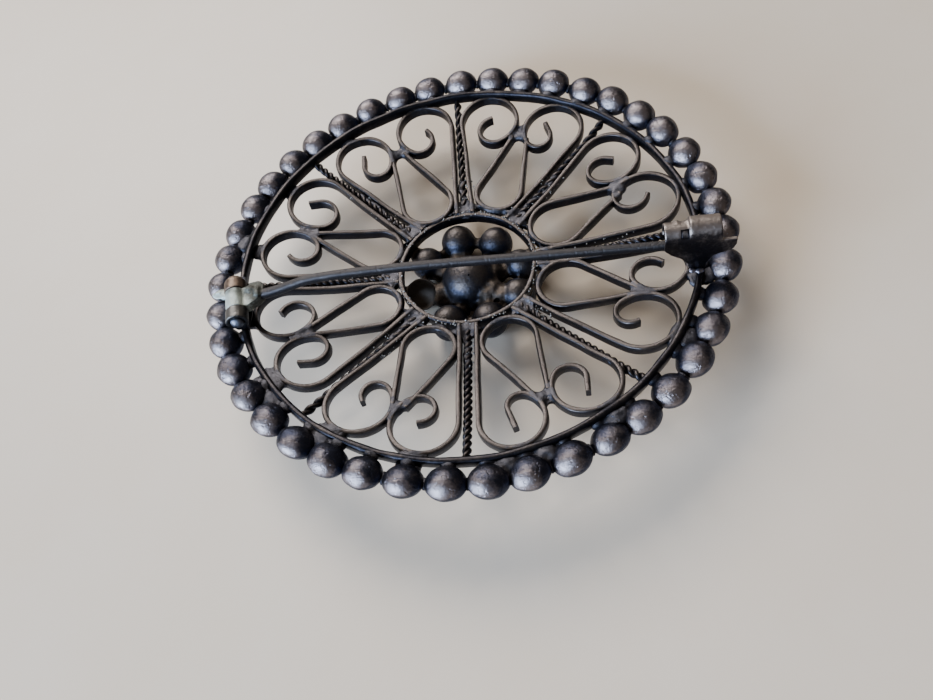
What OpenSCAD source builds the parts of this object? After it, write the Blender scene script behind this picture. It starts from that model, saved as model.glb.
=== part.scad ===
// Round openwork silver brooch lying on its front, its back with the pin upwards.
// Millimetres. The origin is on the surface it lies on, below the middle of the boss.
// +Z points up out of the back. +X runs along the pin, from the hinge to the catch.
// Angles in the tables are degrees from +X, counterclockwise seen from above.

/* [Rim] */
// Radius of the middle line of the rim band
rim_r = 21.75; // [21.6:0.05:21.9]
// Thickness of the rim band
rim_t = 0.4; // [0.3:0.05:0.5]
// Height of the rim band
rim_h = 1.18; // [1:0.02:1.3]
// Height of the rim's upper edge above the surface
rim_top = 6.43; // [6.3:0.01:6.5]

/* [Bead border] */
// Number of beads
bead_count = 43; // [42:1:43]
// Radius of one bead
bead_r = 1.68; // [1.6:0.01:1.7]
// Radius of the circle on which the beads' centres lie
bead_circle_r = 23.8; // [23.75:0.01:23.9]
// Height of the beads' centres
bead_z = 5.85; // [5.8:0.01:5.9]
// Direction of the first bead
bead_first = 82.6; // [80:0.1:86]

/* [Dished scrollwork] */
// Thickness of the ribbon that the scrolls are bent from
ribbon_t = 0.45; // [0.4:0.01:0.5]
// Width of the ribbon, which stands on edge
ribbon_h = 0.95; // [0.85:0.01:1]
// Slope at which the scrollwork rises from the centre ring to the rim, in degrees
dish_slope = 7.3; // [7:0.1:7.6]
// Height at which the ribbons' upper edges would meet in the middle
dish_low = 3.1; // [3:0.01:3.2]
// Distance of a scroll's foot from the middle of its spoke
foot_off = 0.8; // [0.75:0.01:0.9]
// Diameter of a twisted spoke
spoke_d = 0.9; // [0.8:0.05:0.95]

/* [Centre ring and boss] */
// Radius of the middle line of the centre ring
ring_r = 6.6; // [6.5:0.05:6.7]
// Thickness of the centre ring
ring_t = 0.4; // [0.35:0.05:0.45]
// Height of the centre ring's lower edge, on which the boss is seated
ring_low = 2.86; // [2.84:0.01:2.9]
// Height of the centre ring's upper edge
ring_top = 3.93; // [3.8:0.01:4]
// Number of round petals
petal_count = 8; // [8:1:8]
// Radius of one petal
petal_r = 1.63; // [1.6:0.01:1.66]
// Radius of the circle on which the petals' centres lie
petal_circle_r = 5.18; // [5.1:0.01:5.2]
// Direction of the first petal
petal_first = 106.9; // [100:0.1:112]
// Radius of the ball in the middle
ball_r = 2.85; // [2.75:0.01:2.9]
// Height of the ball's centre above its flattened front
ball_z = 1.43; // [1.4:0.01:1.6]

/* [Hinge] */
// Place of the hinge axis along X
hinge_x = -21.2; // [-21.22:0.01:-21.14]
// Place of the hinge's middle along Y
hinge_y = -4.86; // [-4.9:0.01:-4.8]
// How far the hinge axis is turned from Y, in degrees
hinge_turn = 11; // [9:0.5:12]
// Height of the hinge axis above the rim's upper edge
hinge_rise = 1.25; // [1.22:0.01:1.3]
// Outer radius of the two knuckles
knuckle_r = 1.06; // [1.02:0.01:1.1]
// Outer radius of the pin's rolled root
root_r = 1; // [0.95:0.01:1.02]
// Radius of the rivet
rivet_r = 0.62; // [0.58:0.01:0.64]
// Clearance between the rivet and the root that turns on it
rivet_gap = 0.05; // [0.03:0.01:0.08]

/* [Pin] */
// Radius of the pin's stem at its root
stem_r = 0.4; // [0.36:0.01:0.42]
// Radius of the stem at the top of its bow
stem_mid_r = 0.39; // [0.36:0.01:0.4]
// Radius of the stem at its catch
stem_end_r = 0.38; // [0.35:0.01:0.39]

/* [Catch] */
// Thickness of the catch's sheet
catch_t = 0.33; // [0.28:0.01:0.35]
// Height of the rolls' axis above the rim's upper edge
roll_rise = 3.7; // [3.6:0.01:3.8]
// Outer radius of the narrow roll, towards the hinge
roll_near_r = 1.08; // [1:0.01:1.1]
// Outer radius of the wide roll, at the end
roll_far_r = 1.3; // [1.25:0.01:1.35]
// How far round the rolls turn
roll_turn = 240; // [220:5:245]

/* [Hidden] */
$fn = 96;
bite = 0.12;         // how deep soldered pieces run into each other

rim_in = rim_r - rim_t / 2;
rim_out = rim_r + rim_t / 2;
rim_low = rim_top - rim_h;
ring_in = ring_r - ring_t / 2;
ring_out = ring_r + ring_t / 2;
petal_flat = 0.02;   // how much of a petal's front is rubbed flat

// The solder that joins each bead to the rim and to the next bead
seam_r = 0.5;
neck_r = 0.45;
bead_pitch = 2 * bead_circle_r * sin(180 / bead_count);

// The eight twisted spokes: direction
spokes = [92.3, 48, 1.7, -44.5, -89.3, -131.5, -176.2, 138.5];
spoke_drop = 0.5;    // how far a spoke's middle line lies below the ribbons' upper edge

// The sixteen scrolls. Each starts at the centre ring beside its spoke, runs out along it,
// turns round a lobe at the rim and curls in. Columns: spoke, side it turns to (1 is
// counterclockwise), lobe centre's distance out and off the spoke, lobe radius,
// where the curl begins on the lobe, curl radius, how far the curl turns, straight end.
SPOKE = 0;
SIDE = 1;
OUT = 2;
OFF = 3;
LOBE = 4;
CURL_AT = 5;
CURL = 6;
TURN = 7;
END = 8;
scrolls = [
    [0, -1, 18.2, 3.3, 2.95, 160, 1.6, 185, 0.3],
    [1, 1, 18.1, 3.9, 3.0, 155, 1.3, 175, 1.2],
    [1, -1, 17.9, 3.5, 2.95, 165, 1.5, 175, 0.6],
    [2, 1, 17.6, 4.5, 3.2, 135, 1.6, 200, 0.3],
    [2, -1, 17.8, 3.7, 2.6, 155, 1.6, 160, 0.3],
    [3, 1, 17.6, 4.8, 3.0, 170, 1.35, 160, 0.3],
    [3, -1, 17.8, 3.1, 3.0, 155, 1.5, 160, 1.5],
    [4, 1, 17.8, 3.9, 2.85, 150, 1.25, 140, 2.0],
    [4, -1, 17.6, 3.7, 3.0, 165, 1.4, 190, 0.3],
    [5, 1, 17.6, 3.1, 3.0, 165, 1.3, 165, 0.3],
    [5, -1, 17.3, 4.0, 2.9, 145, 1.5, 170, 1.2],
    [6, 1, 17.6, 3.5, 2.8, 155, 1.6, 175, 0.3],
    [6, -1, 17.4, 3.7, 2.8, 150, 1.5, 170, 0.3],
    [7, 1, 17.5, 3.5, 3.0, 145, 1.6, 175, 1.1],
    [7, -1, 17.7, 3.6, 2.9, 165, 1.4, 150, 1.3],
    [0, 1, 18.1, 3.7, 2.95, 150, 1.5, 165, 0.3],
];

// The eight teardrop loops between the spokes. Columns: direction, distance of the round
// end's centre, its radius, and of the point where its two straight sides would meet.
WAY = 0;
EYE = 1;
EYE_R = 2;
APEX = 3;
teardrops = [
    [70, 9.65, 2.3, 20],
    [24.8, 9.85, 2.65, 18],
    [-19, 10, 2.65, 17.5],
    [-66.4, 9.85, 2.5, 18.7],
    [-110.4, 10, 2.5, 18.5],
    [-155, 9.6, 2.3, 17.8],
    [162.3, 9.4, 2.4, 17],
    [116, 9.4, 2.55, 19.3],
];
side_end = 16.6;     // how far out the teardrops' sides run before they meet the lobes
knot = 17;           // distance of the solder between two lobes and a teardrop
knot_r = 0.7;

// Hinge: stretches along its axis of the near knuckle, the root and the far knuckle, as
// places along Y before the axis is turned
hinge_z = rim_top + hinge_rise;
near_y = [-7.27, -5.97];
root_y = [-5.92, -3.8];
far_y = [-3.75, -2.65];
far_end = -2.15;
far_end_r = 0.72;
rivet_y = [-7.05, -2.9];
plate_t = 0.2;
plate_x = [-21.75, -19.95];
plate_y = [-7.1, -1];
foot_w = 1.5;
root_bore_r = rivet_r + rivet_gap;
knuckle_bore_r = rivet_r + rivet_gap;
bead_seat = 0.03;    // gap between the bracket and the beads that it sits against
seat_beads = [29, 30];

// Flattened neck in which the stem is set, an outline on the plane of the hinge axis
neck_t = 1.1;
neck = [[hinge_x, -5.92], [-20, -5.92], [-19.1, -5.5], [-18.42, -4.8],
        [-18.3, -3.9], [-18.7, -3.4], [-19.7, -3.35], [-19.85, -3.8], [hinge_x, -3.8]];
socket_x = [-19.75, -18.4];
socket_gap = 0.02;

// Points on the stem's middle line: in the root, end of the rise, top of its bow, in the catch
stem_root = [-19.7, -4.22, hinge_z];
stem_lift = [-12.9, -4.18, 9.42];
stem_top = [-4, -4.15, 9.76];
stem_held = [21.4, -4.01, 9.16];
point_len = 1;
point_r = 0.12;
bend_grow = 0.02;    // how much the round bends stand out from the stem

// Catch: upright sheet seen along Y, as x and height
catch_y = -4.76;
roll_z = rim_top + roll_rise;
catch_x = [18.03, 22.83];
slit_x = [19.95, 20.3];
tab_x = 24.05;       // how far the sheet runs on past the wide roll
catch_sheet = [[20.3, rim_top], [21.6, rim_top], [21.75, 7.2], [22.2, 8.1], [23.1, 8.5],
               [23.9, 8.9], [tab_x, roll_z], [catch_x[0], roll_z], [catch_x[0], 9.2],
               [18.6, 8.6], [19.5, 8], [20.1, 7.3]];
slit_low = 9.6;

function polar(r, a) = [r * cos(a), r * sin(a)];

// A ribbon on edge along an arc round c, its upper edge at height 0
module arc_strip(c, r, a, b) {
    translate(c)
        rotate_extrude(angle = b - a, start = a)
            translate([r - ribbon_t / 2, -ribbon_h])
                square([ribbon_t, ribbon_h]);
}

// A ribbon on edge along a straight line
module straight_strip(p, q, w = ribbon_t) {
    d = q - p;
    translate(p)
        rotate([0, 0, atan2(d[1], d[0])])
            translate([0, -w / 2, -ribbon_h])
                cube([norm(d), w, ribbon_h]);
}

// Solder at a bend of a ribbon
module bend_solder(p) {
    translate([p[0], p[1], -ribbon_h])
        cylinder(h = ribbon_h, r = ribbon_t / 2 + 0.02);
}

// Sets work at p, with its Z axis towards q
module along(p, q) {
    d = q - p;
    translate(p)
        rotate([0, acos(d[2] / norm(d)), atan2(d[1], d[0])])
            children();
}

// Round bar from p to q, whose radius goes from r1 to r2
module bar(p, q, r1, r2) {
    along(p, q)
        cylinder(h = norm(q - p), r1 = r1, r2 = r2);
}

// The numbered beads of the border
module beads(which, grow = 0) {
    for (i = which)
        rotate([0, 0, bead_first - i * 360 / bead_count])
            translate([bead_circle_r, 0, bead_z])
                sphere(r = bead_r + grow);
}

module beaded_rim() {
    rotate_extrude()
        translate([rim_in, rim_low])
            square([rim_t, rim_h]);
    beads([0 : bead_count - 1]);
    for (i = [0 : bead_count - 1])
        rotate([0, 0, bead_first - i * 360 / bead_count]) {
            bar([rim_r, 0, bead_z], [bead_circle_r - bead_r / 2, 0, bead_z], seam_r, seam_r);
            rotate([0, 0, 180 / bead_count])
                translate([bead_circle_r * cos(180 / bead_count), -bead_pitch / 4, bead_z])
                    rotate([-90, 0, 0])
                        cylinder(h = bead_pitch / 2, r = neck_r);
        }
}

// One scroll beside a spoke that points along +X, turning to +Y
module scroll(s) {
    foot = [ring_r, foot_off];
    c = [s[OUT], s[OFF]];
    d = c - foot;
    start = atan2(d[1], d[0]) - 180 + acos(s[LOBE] / norm(d));
    curl_c = c + polar(s[LOBE] - s[CURL], s[CURL_AT]);
    curl_end = s[CURL_AT] + s[TURN];
    tip = curl_c + polar(s[CURL], curl_end);
    for (p = [c + polar(s[LOBE], start), c + polar(s[LOBE], s[CURL_AT]), tip])
        bend_solder(p);
    straight_strip(foot, c + polar(s[LOBE], start));
    arc_strip(c, s[LOBE], start, s[CURL_AT]);
    arc_strip(curl_c, s[CURL], s[CURL_AT], curl_end);
    straight_strip(tip, tip + polar(s[END], curl_end + 90));
    rotate([0, 0, atan2(c[1], c[0])])
        straight_strip([norm(c) + s[LOBE] - bite, 0], [rim_in + bite, 0], 4 * ribbon_t);
}

module teardrop(t) {
    spread = acos(t[EYE_R] / (t[APEX] - t[EYE]));
    arc_strip([t[EYE], 0], t[EYE_R], spread, 360 - spread);
    for (side = [-1, 1]) {
        from = [t[EYE], 0] + polar(t[EYE_R], side * spread);
        to = [t[APEX], 0];
        part = (side_end - from[0]) / (to[0] - from[0]);
        straight_strip(from, from + (to - from) * part);
        bend_solder(from);
    }
    straight_strip([ring_r, 0], [t[EYE] - t[EYE_R] + bite, 0], 4 * ribbon_t);
    translate([knot, 0, -ribbon_h])
        cylinder(h = ribbon_h, r = knot_r);
}

// Sets work that points along +X in direction a, rising outwards at the slope of the dish
module on_dish(a) {
    translate([0, 0, dish_low])
        rotate([0, -dish_slope, a])
            children();
}

module scrollwork() {
    for (s = scrolls)
        on_dish(spokes[s[SPOKE]])
            mirror([0, s[SIDE] < 0 ? 1 : 0, 0])
                scroll(s);
    for (t = teardrops)
        on_dish(t[WAY])
            teardrop(t);
    for (a = spokes)
        on_dish(a)
            bar([ring_r, 0, -spoke_drop], [rim_r, 0, -spoke_drop], spoke_d / 2, spoke_d / 2);
    rotate_extrude()
        translate([ring_in, ring_low])
            square([ring_t, ring_top - ring_low]);
}

// Rim, beads, scrolls, spokes and centre ring, all soldered together
module openwork() {
    color("#4a443f") {
        beaded_rim();
        scrollwork();
    }
}

// Ball and round petals on the front, soldered to each other and to the ring's lower edge
module boss() {
    collar = [[ball_r - 0.6, 0.9], [petal_circle_r - petal_r + 0.5, 1.1],
              [petal_circle_r - petal_r + 0.5, 1.7], [ball_r - 0.6, 2.2]];
    color("#3f3b3a")
        intersection() {
            union() {
                translate([0, 0, ball_z])
                    sphere(r = ball_r);
                for (i = [0 : petal_count - 1])
                    rotate([0, 0, petal_first + i * 360 / petal_count])
                        translate([petal_circle_r, 0, petal_r - petal_flat])
                            sphere(r = petal_r);
                rotate_extrude()
                    polygon(collar);
                rotate_extrude()
                    translate([ring_in - 0.3, ring_low - 0.5])
                        square([ring_t + 0.3, 0.5]);
            }
            cylinder(h = 2 * ball_r, r = ring_out + bite);
        }
}

// Roll of the catch's sheet between two places along X
module catch_roll(x, r) {
    translate([x[0], catch_y + r, roll_z])
        rotate([90, 0, 90])
            rotate_extrude(angle = roll_turn, start = 180 - roll_turn)
                translate([r - catch_t, 0])
                    square([catch_t, x[1] - x[0]]);
}

module catch() {
    color("#8f8b88") {
        difference() {
            translate([0, catch_y + catch_t, 0])
                rotate([90, 0, 0])
                    linear_extrude(height = catch_t)
                        polygon(catch_sheet);
            translate([slit_x[0], catch_y - bite, slit_low])
                cube([slit_x[1] - slit_x[0], catch_t + 2 * bite, roll_z]);
        }
        catch_roll([catch_x[0], slit_x[0]], roll_near_r);
        catch_roll([slit_x[1], catch_x[1]], roll_far_r);
    }
}

// Turns work about the upright line through the hinge's middle, as its axis is turned
module on_hinge() {
    translate([hinge_x, hinge_y, 0])
        rotate([0, 0, hinge_turn])
            translate([-hinge_x, -hinge_y, 0])
                children();
}

// A cylinder along Y through the hinge's middle, before it is turned
module on_axis(y, r) {
    translate([hinge_x, y[1], hinge_z])
        rotate([90, 0, 0])
            cylinder(h = y[1] - y[0], r = r);
}

module hinge_bracket() {
    color("#5b4f48")
        difference() {
            union() {
                on_hinge() {
                    on_axis(near_y, knuckle_r);
                    on_axis(far_y, knuckle_r);
                    bar([hinge_x, far_y[1], hinge_z], [hinge_x, far_end, hinge_z],
                        knuckle_r, far_end_r);
                    for (y = [near_y, far_y])
                        translate([hinge_x - foot_w / 2, y[0], rim_top + plate_t / 2])
                            cube([foot_w, y[1] - y[0], hinge_rise - plate_t / 2]);
                }
                translate([plate_x[0], plate_y[0], rim_top])
                    cube([plate_x[1] - plate_x[0], plate_y[1] - plate_y[0], plate_t]);
            }
            on_hinge() {
                on_axis([near_y[0] - bite, rivet_y[1] + socket_gap], knuckle_bore_r);
                on_axis([near_y[1], far_y[0]], knuckle_r + socket_gap);
            }
            beads(seat_beads, bead_seat);
        }
}

module hinge_rivet() {
    color("#7d8694")
        on_hinge() {
            on_axis(rivet_y, rivet_r);
            translate([hinge_x, rivet_y[0], hinge_z])
                rotate([90, 0, 0])
                    sphere(r = rivet_r);
        }
}

module pin_root() {
    color("#a9b0a8")
        difference() {
            on_hinge() {
                on_axis(root_y, root_r);
                translate([0, 0, hinge_z - neck_t / 2])
                    linear_extrude(height = neck_t)
                        polygon(neck);
            }
            on_hinge()
                on_axis([root_y[0] - bite, root_y[1] + bite], root_bore_r);
            translate([socket_x[0], stem_root[1], hinge_z])
                rotate([0, 90, 0])
                    cylinder(h = socket_x[1] - socket_x[0], r = stem_r + socket_gap);
        }
}

module pin_stem() {
    bend = [socket_x[1], stem_root[1], hinge_z];
    color("#6d7280") {
        bar(stem_root, bend, stem_r, stem_r);
        bar(bend, stem_lift, stem_r, stem_r);
        bar(stem_lift, stem_top, stem_r, stem_mid_r);
        bar(stem_top, stem_held, stem_mid_r, stem_end_r);
        along(bend, stem_lift)
            sphere(r = stem_r + bend_grow);
        along(stem_lift, stem_top)
            sphere(r = stem_r + bend_grow);
        along(stem_top, stem_held) {
            sphere(r = stem_mid_r + bend_grow);
            translate([0, 0, norm(stem_held - stem_top) - bend_grow])
                cylinder(h = point_len, r1 = stem_end_r, r2 = point_r);
        }
    }
}

openwork();
boss();
catch();
hinge_bracket();
hinge_rivet();
pin_root();
pin_stem();
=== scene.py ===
"""Looks of a round openwork silver brooch that lies on its front with its pin upwards.

Lengths are in millimetres until a mesh is made, and angles in degrees. The frame is the
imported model's: +Z up out of the brooch's back, +X along the pin towards its catch.
"""
import math
import random

import bmesh
import bpy
from mathutils import Matrix, Vector, noise


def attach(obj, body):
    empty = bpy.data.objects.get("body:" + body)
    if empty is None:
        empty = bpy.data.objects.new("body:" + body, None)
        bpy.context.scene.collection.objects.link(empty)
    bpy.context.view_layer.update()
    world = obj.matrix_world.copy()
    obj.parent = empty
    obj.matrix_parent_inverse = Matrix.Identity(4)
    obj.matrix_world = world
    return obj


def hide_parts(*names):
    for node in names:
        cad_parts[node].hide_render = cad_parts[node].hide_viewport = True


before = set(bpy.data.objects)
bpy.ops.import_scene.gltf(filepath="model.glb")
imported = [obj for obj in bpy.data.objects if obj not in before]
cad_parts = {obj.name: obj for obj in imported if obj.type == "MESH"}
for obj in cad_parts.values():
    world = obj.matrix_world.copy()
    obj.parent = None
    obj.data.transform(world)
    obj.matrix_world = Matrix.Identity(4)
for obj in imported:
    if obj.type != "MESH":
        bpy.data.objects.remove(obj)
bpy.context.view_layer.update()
MM = 0.001
# Degrees between two points of an arc
ARC_STEP = 4.0
dice = random.Random(11)

# Camera, fitted to the rim, the border beads and the centre ring in the photograph
CAMERA_AT = Vector((9.95, -51.08, 67.77))
CAMERA_RIGHT = Vector((0.98850, 0.00430, -0.15117))
CAMERA_UP = Vector((0.07791, 0.84224, 0.53344))
CAMERA_LENS = 32.6
CAMERA_SENSOR = 36
CAMERA_CLIP = (0.002, 20)

# Lamps: direction, then distance and sizes in metres, power and colour
WINDOW = ((-0.68, -0.66, 0.38), 0.5, (0.3, 0.2), 5.6, (0.62, 0.77, 1.0))
CEILING = ((-0.5, 0.87, 0.85), 1.2, (0.7, 0.6), 14.2, (1.0, 0.93, 0.85))
ROOM_COLOUR = (1.0, 0.82, 0.66)
ROOM_POWER = 0.14
# Table: half its width in metres, and the two colours of its clouds
TABLE_HALF = 3.0
TABLE_COLOURS = ((0.84, 0.71, 0.56), (0.89, 0.79, 0.67))

# Rim: radius of its middle line, thickness, height, top, rounding and points round it
RIM_R = 21.75
RIM_T = 0.64
RIM_H = 1.18
RIM_TOP = 6.43
RIM_CORNER = 0.24
RIM_STEPS = 300
# Border beads, numbered from this direction towards the catch's side
BEADS = 43
BEAD_FIRST = 82.6
# Half widths of a bead outwards and along the border, its height above and below its seam,
# and how far it leans inwards
BEAD_WIDE = 1.58
BEAD_LONG = 1.73
BEAD_UP = 1.28
BEAD_LOW = 1.06
BEAD_LEAN = 20
# A bead's faint seam: how far it stands out, as a part of the bead, and how narrow it is
SEAM = 0.018
SEAM_WIDTH = 0.1
# Bead number, its height and its distance from the middle; the border is not quite level
BEAD_PLACES = (
    (0, 5.9, 23.8), (3, 6.25, 23.8), (6, 6.3, 23.75), (9, 6.1, 23.75), (12, 5.55, 23.85),
    (15, 5.45, 23.75), (18, 5.6, 23.7), (21, 5.95, 23.7), (24, 6.1, 23.8), (27, 5.95, 23.85),
    (30, 5.6, 23.85), (33, 5.2, 23.95), (36, 5.15, 23.95), (39, 5.5, 23.9), (43, 5.9, 23.8),
)
# Gaps between the rim and two beads that solder has filled, numbered as their first bead
FILLED_GAPS = (16, 18, 19, 24, 26, 30, 32)
# Beads with a pitted or scratched back, and the lumps of these and of the others
ROUGH_BEADS = (5, 6, 7, 8, 10, 11, 12, 13, 23, 24, 25, 26, 27, 28)
ROUGH_LUMPS = 0.03
BEAD_LUMPS = 0.015
# Half sizes of the solder between two beads, between a bead and the rim, and in a filled gap
NECK = (0.62, 0.3, 0.42)
BEAD_FOOT = (0.62, 0.75, 0.5)
GAP_FILL = (0.85, 1.1, 0.42)
# How far inwards of a bead's middle its foot lies
BEAD_FOOT_OFF = 1.72

# Dished scrollwork: the ribbon's thickness, height and rounding, the radius of its dish and
# the dish's height in the middle, and how far the scrolls' feet stand off a spoke
RIBBON_T = 0.47
RIBBON_H = 1.0
RIBBON_CORNER = 0.12
DISH_R = 110.0
DISH_LOW = 3.83
FOOT_OFF = 0.8
# Spokes: how deep they lie under the dish, the radius of a strand and of its twist
SPOKE_DROP = 0.5
STRAND_R = 0.23
STRAND_OFF = 0.19
SPOKE_STEPS = 240
# Directions of the spokes
SPOKES = (92.3, 48, 1.7, -44.5, -89.3, -131.5, -176.2, 138.5)
# Length of one turn of each spoke's twist
TWISTS = (2.2, 2.1, 1.3, 1.48, 1.46, 2.1, 1.4, 1.6)
# From where to where old solder clogs the space beside each spoke, how far apart its lumps
# are, and the distance past which they belong to the outer solder
CLOGS = ((7, 11.5), (7, 14), (12.5, 16.5), (7, 10.5), (7, 12), (7, 13.5), (7, 12), (7, 15.5))
CLOG_STEP = 0.35
CLOG_OUTER = 12.5

# Scrolls: spoke, side, lobe centre out and off the spoke, lobe radius,
# where the curl begins, curl radius, curl's turn, straight end
SCROLLS = (
    (0, -1, 18.2, 3.3, 2.95, 160, 1.6, 185, 0.3),
    (1, 1, 18.1, 3.9, 3.0, 155, 1.3, 175, 1.2),
    (1, -1, 17.9, 3.5, 2.95, 165, 1.5, 175, 0.6),
    (2, 1, 17.6, 4.5, 3.2, 135, 1.6, 200, 0.3),
    (2, -1, 17.8, 3.7, 2.6, 155, 1.6, 160, 0.3),
    (3, 1, 17.6, 4.8, 3.0, 170, 1.35, 160, 0.3),
    (3, -1, 17.8, 3.1, 3.0, 155, 1.5, 160, 1.5),
    (4, 1, 17.8, 3.9, 2.85, 150, 1.25, 140, 2.0),
    (4, -1, 17.6, 3.7, 3.0, 165, 1.4, 190, 0.3),
    (5, 1, 17.6, 3.1, 3.0, 165, 1.3, 165, 0.3),
    (5, -1, 17.3, 4.0, 2.9, 145, 1.5, 170, 1.2),
    (6, 1, 17.6, 3.5, 2.8, 155, 1.6, 175, 0.3),
    (6, -1, 17.4, 3.7, 2.8, 150, 1.5, 170, 0.3),
    (7, 1, 17.5, 3.5, 3.0, 145, 1.6, 175, 1.1),
    (7, -1, 17.7, 3.6, 2.9, 165, 1.4, 150, 1.3),
    (0, 1, 18.1, 3.7, 2.95, 150, 1.5, 165, 0.3),
)

# Teardrop loops: direction, round end's distance and radius, where the sides would meet
TEARDROPS = (
    (70, 9.65, 2.3, 20),
    (24.8, 9.85, 2.65, 18),
    (-19, 10, 2.65, 17.5),
    (-66.4, 9.85, 2.5, 18.7),
    (-110.4, 10, 2.5, 18.5),
    (-155, 9.6, 2.3, 17.8),
    (162.3, 9.4, 2.4, 17),
    (116, 9.4, 2.55, 19.3),
)
# How far out the sides of a teardrop end, and how far out they are soldered to the scrolls
SIDE_END = 16.6
KNOT = 17.0
# Directions in which a lobe and the rim are joined by a large run of solder
HEAVY_SOLDER = (-144.5, -122.3, -101.8, -30.4, -12.3)
# Half sizes of lumps of solder, outwards, across and upwards: the inner and outer part of a
# large run, where two teardrop legs meet, behind a teardrop's eye and at a spoke's foot
HEAVY_PAD = (0.75, 1.5, 0.4)
HEAVY_PAD_OUT = (0.8, 1.2, 0.4)
KNOT_PAD = (0.6, 0.5, 0.4)
EYE_PAD = (0.4, 1.0, 0.4)
SPOKE_PAD = (0.8, 0.95, 0.42)

# Centre ring: radius of its middle line, thickness, lower and upper edge, points round it
RING_R = 6.6
RING_T = 0.48
RING_LOW = 2.86
RING_TOP = 3.93
RING_STEPS = 240
# Grains of solder on the ring and beside each spoke
RING_GRAINS = 260
SPOKE_GRAINS = 64
# Petals: place and radius; each rests on the table
PETALS = ((-1.18, 4.78, 1.76), (2.63, 4.2, 1.72), (5.05, 1.37, 1.58), (-4.31, 2.46, 1.66),
          (-4.86, -1.27, 1.6), (-1.96, -5.08, 1.75), (1.92, -5.12, 1.72), (4.77, -2.47, 1.7))
# The petal that is open towards its back, its hollow's radius, and how far the hollow's middle
# lies from the petal's
OPEN_PETAL = 4
HOLLOW_R = 1.5
HOLLOW_OFF = (0.08, -0.34, 0.5)
# Only petals with a lower y than this are soldered to the ring
SOLDERED_BELOW = 3
BALL_AT = (-0.04, -0.3, 1.5)
BALL_R = 2.76
# The ball's vent hole and a gap in the solder beside it: place and half sizes
VENT = ((0.19, -1.27, 4.15), (0.1, 0.1, 0.35))
MELT_GAP = ((2.66, -3.4, 2.55), (0.36, 0.26, 0.5))
# Runs of solder between the ball and the petals: place and half sizes
BOSS_SOLDER = (
    ((-2.95, -1.35, 1.35), (1.3, 1.35, 1.05)), ((1.75, -2.3, 2.0), (0.95, 0.9, 0.9)),
    ((3.6, -2.6, 2.1), (1.3, 0.85, 0.85)), ((-1.0, 2.6, 1.3), (1.4, 0.9, 0.85)),
    ((1.9, 2.6, 1.3), (1.0, 0.8, 0.7)), ((3.3, 0.9, 1.4), (0.9, 0.7, 0.7)),
    ((2.25, 0.3, 1.8), (1.35, 1.2, 1.0)), ((-3.0, 1.4, 1.3), (1.0, 0.9, 0.8)),
    ((2.3, -1.9, 1.9), (1.25, 1.2, 1.05)), ((2.9, -2.7, 1.7), (1.2, 1.0, 0.9)),
    ((-0.9, -3.3, 1.1), (0.8, 0.8, 0.7)), ((1.5, -3.7, 1.4), (1.0, 0.9, 0.9)),
)
# Half sizes of the solder between a petal and the ring
PETAL_PAD = (0.45, 0.75, 0.32)

# The hinge's middle, and how far its axis is turned
HINGE_X = -21.2
HINGE_Y = -4.86
HINGE_Z = 7.68
HINGE_TURN = 11
# Below these heights the hinge's plate is dark, unworn, and drawn in under the rim
PLATE_DARK = 7.1
PLATE_DULL = 7.15
PLATE_LOW = 6.95
# The y past which the plate's inner edge is drawn in, and how far inside the rim it ends
PLATE_FAR = -4.3
PLATE_IN = 0.4
RIVET_R = 0.6
# Where the rivet begins before the hinge is turned, its length, and its domed end
RIVET_FROM = -7.1
RIVET_LONG = 4.1
RIVET_END = -7.2
RIVET_DOME = (0.62, 0.5, 0.62)
# Pale solder on the border and lumps on the pin's root: place, half sizes, lumps and seed
PALE_FLOOD = (((-23.4, -2.95, 6.55), (0.95, 0.6, 0.42), 0.22, 5),
              ((-22.75, -3.2, 6.55), (0.7, 0.6, 0.45), 0.2, 6))
ROOT_LUMPS = (((-19.1, -4.15, 7.98), (0.45, 0.75, 0.5), 0.15, 2),
              ((-19.9, -3.9, 7.98), (0.9, 0.6, 0.42), 0.15, 3))
# The stem's middle line, how far apart its rings are and how often it is smoothed
STEM_STEP = 0.3
STEM_ROUNDS = 12
STEM_LINE = ((-19.6, -4.22, 7.68), (-18.4, -4.22, 7.74), (-16.5, -4.2, 8.32),
             (-14.65, -4.19, 9.05), (-13.6, -4.19, 9.3), (-12.6, -4.18, 9.43),
             (-10.7, -4.18, 9.58), (-8.8, -4.17, 9.66), (-4.5, -4.15, 9.74), (0, -4.13, 9.67),
             (7, -4.1, 9.5), (12.6, -4.07, 9.36), (17.3, -4.04, 9.25), (21.4, -4.01, 9.16))
# Radius of the stem at its root, past its bend and at its end
STEM_R = (0.47, 0.41, 0.38)
STEM_TIP = (22.4, -3.99, 9.13)
STEM_TIP_R = 0.12
# Power that makes the stem's round section slightly square, and its number of sides
STEM_SQUARE = 0.75
STEM_SIDES = 20
# Catch: a sheet whose lower edge runs through these points, rolled over at the top
SHEET_T = 0.33
SHEET_Y = -4.76
SHEET_LOW = ((18.03, 9.2), (18.6, 8.6), (19.5, 8), (20.1, 7.3), (20.3, 6.43), (21.6, 6.43),
             (21.75, 7.2), (22.2, 8.1), (23.1, 8.5), (23.9, 8.9), (24.05, 9.4))
SHEET_STEPS = 48
# Roll: height of its middle, its end, the step between its narrow and its wide part, the two
# radii, how far it is rolled and the points round it
ROLL_Z = 10.13
ROLL_END = 22.83
ROLL_STEP = 20.15
ROLL_RADII = (1.08, 1.3)
ROLL_TURN = 240
ROLL_POINTS = 30
# Ridges past the roll's top, towards +Y: place along it, width and height
RIDGES = ((19.15, 0.22, 0.16), (20, 0.2, 0.12))
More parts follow.
